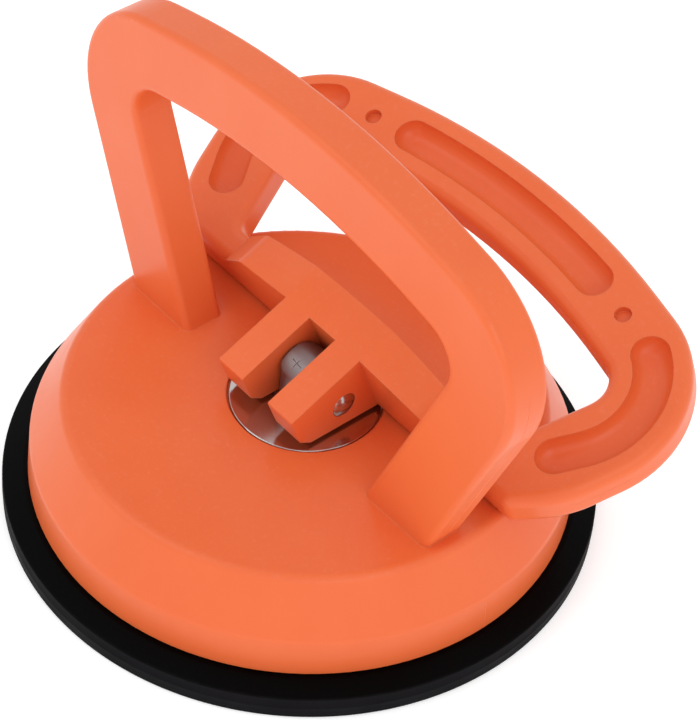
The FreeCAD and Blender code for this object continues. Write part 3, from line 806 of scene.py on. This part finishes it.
class LIFTER_OT_housing(PieceOperator, bpy.types.Operator):
    """Finish the housing and its fixed handle in moulded orange plastic"""
    bl_idname = "lifter.housing"
    bl_label = "Housing"

    def make(self, lifter):
        paint("housing", orange_plastic(lifter.plastic))


class LIFTER_OT_lever(PieceOperator, bpy.types.Operator):
    """Finish the lever in moulded orange plastic"""
    bl_idname = "lifter.lever"
    bl_label = "Lever"

    def make(self, lifter):
        paint("lever", orange_plastic(lifter.plastic))


class LIFTER_OT_stud(PieceOperator, bpy.types.Operator):
    """Make the milled stud with the cross punched in its round end"""
    bl_idname = "lifter.stud"
    bl_label = "Stud"

    def make(self, lifter):
        punch = lifter.punch
        finish = steel("Milled steel", lifter.steel.stud_colour_with_reflection, lifter.steel.stud_roughness,
                       0.000012)
        copy = bmesh.new()
        copy.from_mesh(frame["nodes"]["stud"].data)
        bmesh.ops.remove_doubles(copy, verts=copy.verts, dist=1e-6)
        bmesh.ops.recalc_face_normals(copy, faces=copy.faces)
        blank = bpy.data.meshes.new("stud_blank")
        copy.to_mesh(blank)
        copy.free()
        blank.materials.clear()
        stud = link("punched_stud", blank, finish)
        end_radius = STUD_HI.z - PIVOT.z
        seat = Matrix.Translation(PIVOT) @ Matrix.Rotation(punch.lean, 4, "X")
        work = bmesh.new()
        for turn in CROSS_TURNS:
            place = seat @ Matrix.Translation((0, 0, end_radius)) @ Matrix.Rotation(turn, 4, "Z")
            stroke = bmesh.ops.create_cube(work, size=1.0)["verts"]
            for vertex in stroke:
                vertex.co.x *= punch.span
                # the stroke narrows towards its bottom
                vertex.co.y *= punch.width * (1.0 if vertex.co.z > 0 else CROSS_TAPER)
                vertex.co.z *= 2 * punch.depth
            bmesh.ops.transform(work, matrix=place, verts=stroke)
        chisel_mesh = bpy.data.meshes.new("chisel")
        work.to_mesh(chisel_mesh)
        work.free()
        chisel = link("chisel", chisel_mesh)
        cut = stud.modifiers.new("Punch", "BOOLEAN")
        cut.operation = "DIFFERENCE"
        cut.solver = "EXACT"
        cut.use_self = True
        cut.object = chisel
        depsgraph = bpy.context.evaluated_depsgraph_get()
        mesh = bpy.data.meshes.new_from_object(stud.evaluated_get(depsgraph), depsgraph=depsgraph)
        if len(mesh.polygons) < len(blank.polygons) // 2:
            raise RuntimeError("the punched cross removed the stud")
        stud.modifiers.clear()
        stud.data = mesh
        bpy.data.objects.remove(chisel)
        shade(mesh)
        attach(stud, "puller")
        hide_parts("stud")


class LIFTER_OT_plate(PieceOperator, bpy.types.Operator):
    """Finish the steel plate inside the pad"""
    bl_idname = "lifter.plate"
    bl_label = "Insert plate"

    def make(self, lifter):
        # the stud's grey, with its painted orange reflection, serves the plate too
        paint("insert_plate", steel("Rolled steel", lifter.steel.stud_colour_with_reflection, 0.45, 0.00002))


class LIFTER_OT_washer(PieceOperator, bpy.types.Operator):
    """Finish the washer in polished steel"""
    bl_idname = "lifter.washer"
    bl_label = "Pressure washer"

    def make(self, lifter):
        paint("pressure_washer", steel(
            "Polished washer steel", lifter.steel.bright_colour, lifter.steel.bright_roughness,
            0.000004, rings=1400.0,
        ))


class LIFTER_OT_pin(PieceOperator, bpy.types.Operator):
    """Finish the rivet pin in polished steel, ringed about its own axis"""
    bl_idname = "lifter.pin"
    bl_label = "Pivot pin"

    def make(self, lifter):
        quarter = math.radians(90)
        turned_place = Euler((0, quarter, 0)).to_matrix() @ PIVOT
        paint("pivot_pin", steel(
            "Polished rivet steel", lifter.steel.bright_colour, lifter.steel.bright_roughness,
            0.000004, centre=tuple(-turned_place), spin=(0, quarter, 0), rings=1600.0,
        ))


class LIFTER_OT_seams(PieceOperator, bpy.types.Operator):
    """Lay the fine seams where the mould halves met"""
    bl_idname = "lifter.seams"
    bl_label = "Mould seams"

    def make(self, lifter):
        tree = bead_tree()
        values = {"Bead Radius": lifter.mould.seam, "Material": flash_plastic(lifter.plastic)}
        outside = 2 * HOUSING_HI.x
        housing = surface_of("housing")
        foot, top = HOUSING_LO.z, HOUSING_HI.z
        rim = spaced(foot + RIM_SEAM_FROM, foot + RIM_SEAM_TO, RIM_SEAM_POINTS)
        legs = spaced(foot + LEG_SEAM_FROM, top - LEG_SEAM_BELOW_TOP, LEG_SEAM_POINTS)
        for name, y, heights in (
            ("rim_seams", 0.0, rim), ("handle_seams", HANDLE_MIDDLE_Y, legs),
        ):
            runs = [
                [touched(housing, (side * outside, y, z), (-side, 0, 0))[0] for z in heights]
                for side in (-1, 1)
            ]
            grown(name, path_mesh(name, runs), tree, values, "base")
        lever = surface_of("lever")
        tilt = lifter.mould.lever_tilt
        reaches = spaced(LEVER_SEAM_FROM, LEVER_SEAM_TO, LEVER_SEAM_POINTS)
        runs = [
            [touched(lever, along_lever(tilt, u, LEVER_MIDDLE_N, side * outside),
                     (-side, 0, 0))[0] for u in reaches]
            for side in (-1, 1)
        ]
        grown("lever_seams", path_mesh("lever_seams", runs), tree, values, "lever_body")


class LIFTER_OT_marks(PieceOperator, bpy.types.Operator):
    """Set the witness rings that ejector pins leave on the backs of the mouldings"""
    bl_idname = "lifter.marks"
    bl_label = "Ejector marks"

    def make(self, lifter):
        plastic = flash_plastic(lifter.plastic)
        mould = lifter.mould
        tree = witness_tree()
        values = {
            "Ring Radius": mould.mark_radius, "Bead Radius": mould.mark_bead,
            "Material": plastic,
        }
        housing = surface_of("housing")
        behind = 0.02
        rays = [
            ((side * x, behind, z), (0, -1, 0))
            for x, z in HANDLE_SPOTS for side in ((-1, 1) if x else (1,))
        ]
        grown("handle_marks", self.points("handle_marks", housing, rays), tree, values, "base")
        lever = surface_of("lever")
        tilt = mould.lever_tilt
        up = Matrix.Rotation(tilt, 3, "X") @ Vector((0, 0, 1))
        below = -0.03
        rays = [
            (along_lever(tilt, u, below, side * x), up)
            for x, u in LEVER_SPOTS for side in ((-1, 1) if x else (1,))
        ]
        grown("lever_marks", self.points("lever_marks", lever, rays), tree, values, "lever_body")

    @staticmethod
    def points(name, surface, rays):
        hits = [touched(surface, start, direction) for start, direction in rays]
        mesh = bpy.data.meshes.new(name)
        mesh.from_pydata([tuple(place) for place, _ in hits], [], [])
        facing = mesh.attributes.new("facing", "FLOAT_VECTOR", "POINT")
        for item, (_, normal) in zip(facing.data, hits):
            item.vector = normal
        return mesh


class LIFTER_OT_stage(PieceOperator, bpy.types.Operator):
    """Set the pale floor, the soft light and the camera"""
    bl_idname = "lifter.stage"
    bl_label = "Stage"

    def make(self, lifter):
        stage = lifter.stage
        self.floor(stage)
        self.lights(stage)
        self.camera(stage)
        bpy.context.scene.view_settings.view_transform = "Standard"

    @staticmethod
    def floor(stage):
        material, tree, shader = new_material("Pale floor")
        place = lay(tree, "ShaderNodeTexCoord").outputs["Object"]
        cloud = noise(tree, place, 3.0, 2.0)
        darker = [c * 0.985 for c in stage.floor_colour]
        tint = blend(tree, cloud, opaque(stage.floor_colour), opaque(darker))
        tree.links.new(tint, shader.inputs["Base Color"])
        shader.inputs["Emission Color"].default_value = (1.0, 1.0, 1.0, 1.0)
        shader.inputs["Emission Strength"].default_value = stage.floor_glow
        shader.inputs["Roughness"].default_value = 0.9
        shader.inputs["Specular IOR Level"].default_value = 0.1
        half, drop = 4.0, -0.0001
        mesh = bpy.data.meshes.new("floor")
        corners = [(-half, -half, drop), (half, -half, drop), (half, half, drop),
                   (-half, half, drop)]
        mesh.from_pydata(corners, [], [(0, 1, 2, 3)])
        link("floor", mesh, material)

    @staticmethod
    def lights(stage):
        world = bpy.data.worlds.new("Even white light")
        world.use_nodes = True
        background = world.node_tree.nodes["Background"]
        background.inputs["Color"].default_value = (1.0, 1.0, 1.0, 1.0)
        background.inputs["Strength"].default_value = stage.sky
        bpy.context.scene.world = world
        centre = (CAD_BOX[0] + CAD_BOX[1]) / 2
        for name, place, power, size in (
            ("key_light", (-0.35, -0.75, 1.10), stage.key, 0.9),
            ("fill_light", (0.95, -0.25, 0.70), stage.fill, 0.7),
        ):
            lamp = bpy.data.lights.new(name, "AREA")
            lamp.energy = power
            lamp.size = size
            holder = bpy.data.objects.new(name, lamp)
            holder.location = place
            holder.rotation_euler = (centre - Vector(place)).to_track_quat("-Z", "Y").to_euler()
            bpy.context.scene.collection.objects.link(holder)

    @staticmethod
    def camera(stage):
        level = math.cos(stage.elevation)
        back = Vector((
            math.sin(stage.azimuth) * level, -math.cos(stage.azimuth) * level,
            math.sin(stage.elevation),
        ))
        right = (-back).cross(Vector((0, 0, 1))).normalized()
        up = right.cross(-back)
        rolled_right = math.cos(stage.roll) * right + math.sin(stage.roll) * up
        rolled_up = math.cos(stage.roll) * up - math.sin(stage.roll) * right
        aim = Vector((0, 0, stage.aim_height))
        aim += stage.aim_right * rolled_right + stage.aim_up * rolled_up
        lens = bpy.data.cameras.new("camera")
        lens.lens = stage.lens
        lens.clip_start, lens.clip_end = 0.01, 20.0
        holder = bpy.data.objects.new("camera", lens)
        axes = Matrix((rolled_right, rolled_up, back)).transposed().to_4x4()
        holder.matrix_world = Matrix.Translation(aim + stage.distance * back) @ axes
        bpy.context.scene.collection.objects.link(holder)
        bpy.context.scene.camera = holder


OPERATORS = (
    LIFTER_OT_pad, LIFTER_OT_plate, LIFTER_OT_stud, LIFTER_OT_housing, LIFTER_OT_washer,
    LIFTER_OT_lever, LIFTER_OT_pin, LIFTER_OT_seams, LIFTER_OT_marks, LIFTER_OT_stage,
)


class LIFTER_PT_looks(bpy.types.Panel):
    """Lists the lifter's pieces and their settings"""
    bl_idname = "LIFTER_PT_looks"
    bl_label = "Vacuum lifter"
    bl_space_type = "VIEW_3D"
    bl_region_type = "UI"
    bl_category = "Lifter"

    def draw(self, context):
        layout = self.layout
        for operator in OPERATORS:
            layout.operator(operator.bl_idname)
        lifter = context.scene.lifter
        for group in LifterSettings.__annotations__:
            settings = getattr(lifter, group)
            box = layout.box()
            box.label(text=group.capitalize())
            for name in type(settings).__annotations__:
                box.prop(settings, name)


CLASSES = (
    PlasticSettings, RubberSettings, SteelSettings, PadSettings, MouldSettings, PunchSettings,
    StageSettings, LifterSettings, *OPERATORS, LIFTER_PT_looks,
)


def register():
    for item in CLASSES:
        bpy.utils.register_class(item)
    bpy.types.Scene.lifter = PointerProperty(type=LifterSettings)


def unregister():
    del bpy.types.Scene.lifter
    for item in reversed(CLASSES):
        bpy.utils.unregister_class(item)


def main():
    register()
    for operator in OPERATORS:
        group, name = operator.bl_idname.split(".")
        getattr(getattr(bpy.ops, group), name)()


if __name__ == "__main__":
    main()
